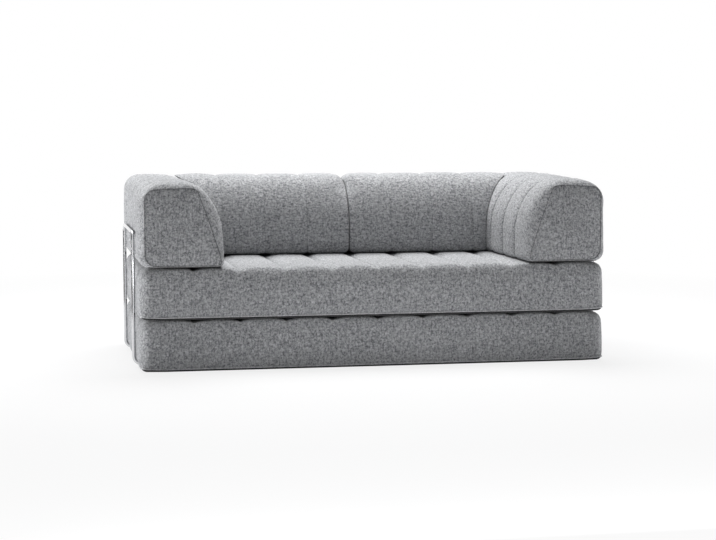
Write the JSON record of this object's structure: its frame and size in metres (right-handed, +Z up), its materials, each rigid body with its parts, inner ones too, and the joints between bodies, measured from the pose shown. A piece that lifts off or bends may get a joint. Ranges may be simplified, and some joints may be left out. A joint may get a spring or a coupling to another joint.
{
  "type": "sofa bed",
  "caption": "Low sofa bed: stacked channel-quilted mattresses, arm and back bolsters on bent chrome tube loops.",
  "frame": {"origin": "on the floor under the middle of the whole object's box", "axes": "+X over the width to the sitter's left as seen from the front, -Y the front, +Z up"},
  "size_m": [2.098, 1.051, 0.809],
  "materials": {
    "fabric": "matte",
    "foam": "matte",
    "spring_block": "matte",
    "plywood": "satin",
    "zinc_steel": "satin",
    "chrome": "polished",
    "black_plastic": "matte",
    "zip": "matte"
  },
  "bodies": {
    "lower_mattress": {"lower_mattress_cover": "fabric", "lower_mattress_springs": "spring_block", "lower_mattress_foam": "foam", "lower_mattress_zip": "zip"},
    "upper_mattress": {"upper_mattress_cover": "fabric", "upper_mattress_springs": "spring_block", "upper_mattress_foam": "foam", "upper_mattress_zip": "zip"},
    "left_arm": {"left_arm_cover": "fabric", "left_arm_foam": "foam", "left_arm_board": "plywood", "left_arm_bolts": "zinc_steel", "left_arm_loop": "chrome", "left_arm_end_caps": "black_plastic", "left_arm_glides": "black_plastic", "left_arm_zip": "zip"},
    "right_arm": {"right_arm_cover": "fabric", "right_arm_foam": "foam", "right_arm_board": "plywood", "right_arm_bolts": "zinc_steel", "right_arm_loop": "chrome", "right_arm_end_caps": "black_plastic", "right_arm_glides": "black_plastic", "right_arm_zip": "zip"},
    "left_back": {"left_back_cover": "fabric", "left_back_foam": "foam", "left_back_board": "plywood", "left_back_bolts": "zinc_steel", "left_back_loop": "chrome", "left_back_end_caps": "black_plastic", "left_back_glides": "black_plastic", "left_back_zip": "zip"},
    "right_back": {"right_back_cover": "fabric", "right_back_foam": "foam", "right_back_board": "plywood", "right_back_bolts": "zinc_steel", "right_back_loop": "chrome", "right_back_end_caps": "black_plastic", "right_back_glides": "black_plastic", "right_back_zip": "zip"}
  },
  "joints": [
    {"name": "upper_mattress_slide", "type": "slide", "parent": "lower_mattress", "child": "upper_mattress", "axis": [0, -1, 0], "range_m": [0, 0.36]},
    {"name": "left_arm_draw", "type": "slide", "parent": "lower_mattress", "child": "left_arm", "axis": [-1, 0, 0], "range_m": [0, 0.34]},
    {"name": "right_arm_draw", "type": "slide", "parent": "lower_mattress", "child": "right_arm", "axis": [1, 0, 0], "range_m": [0, 0.34]},
    {"name": "left_back_draw", "type": "slide", "parent": "lower_mattress", "child": "left_back", "axis": [0, 1, 0], "range_m": [0, 0.34]},
    {"name": "right_back_draw", "type": "slide", "parent": "lower_mattress", "child": "right_back", "axis": [0, 1, 0], "range_m": [0, 0.34]}
  ]
}
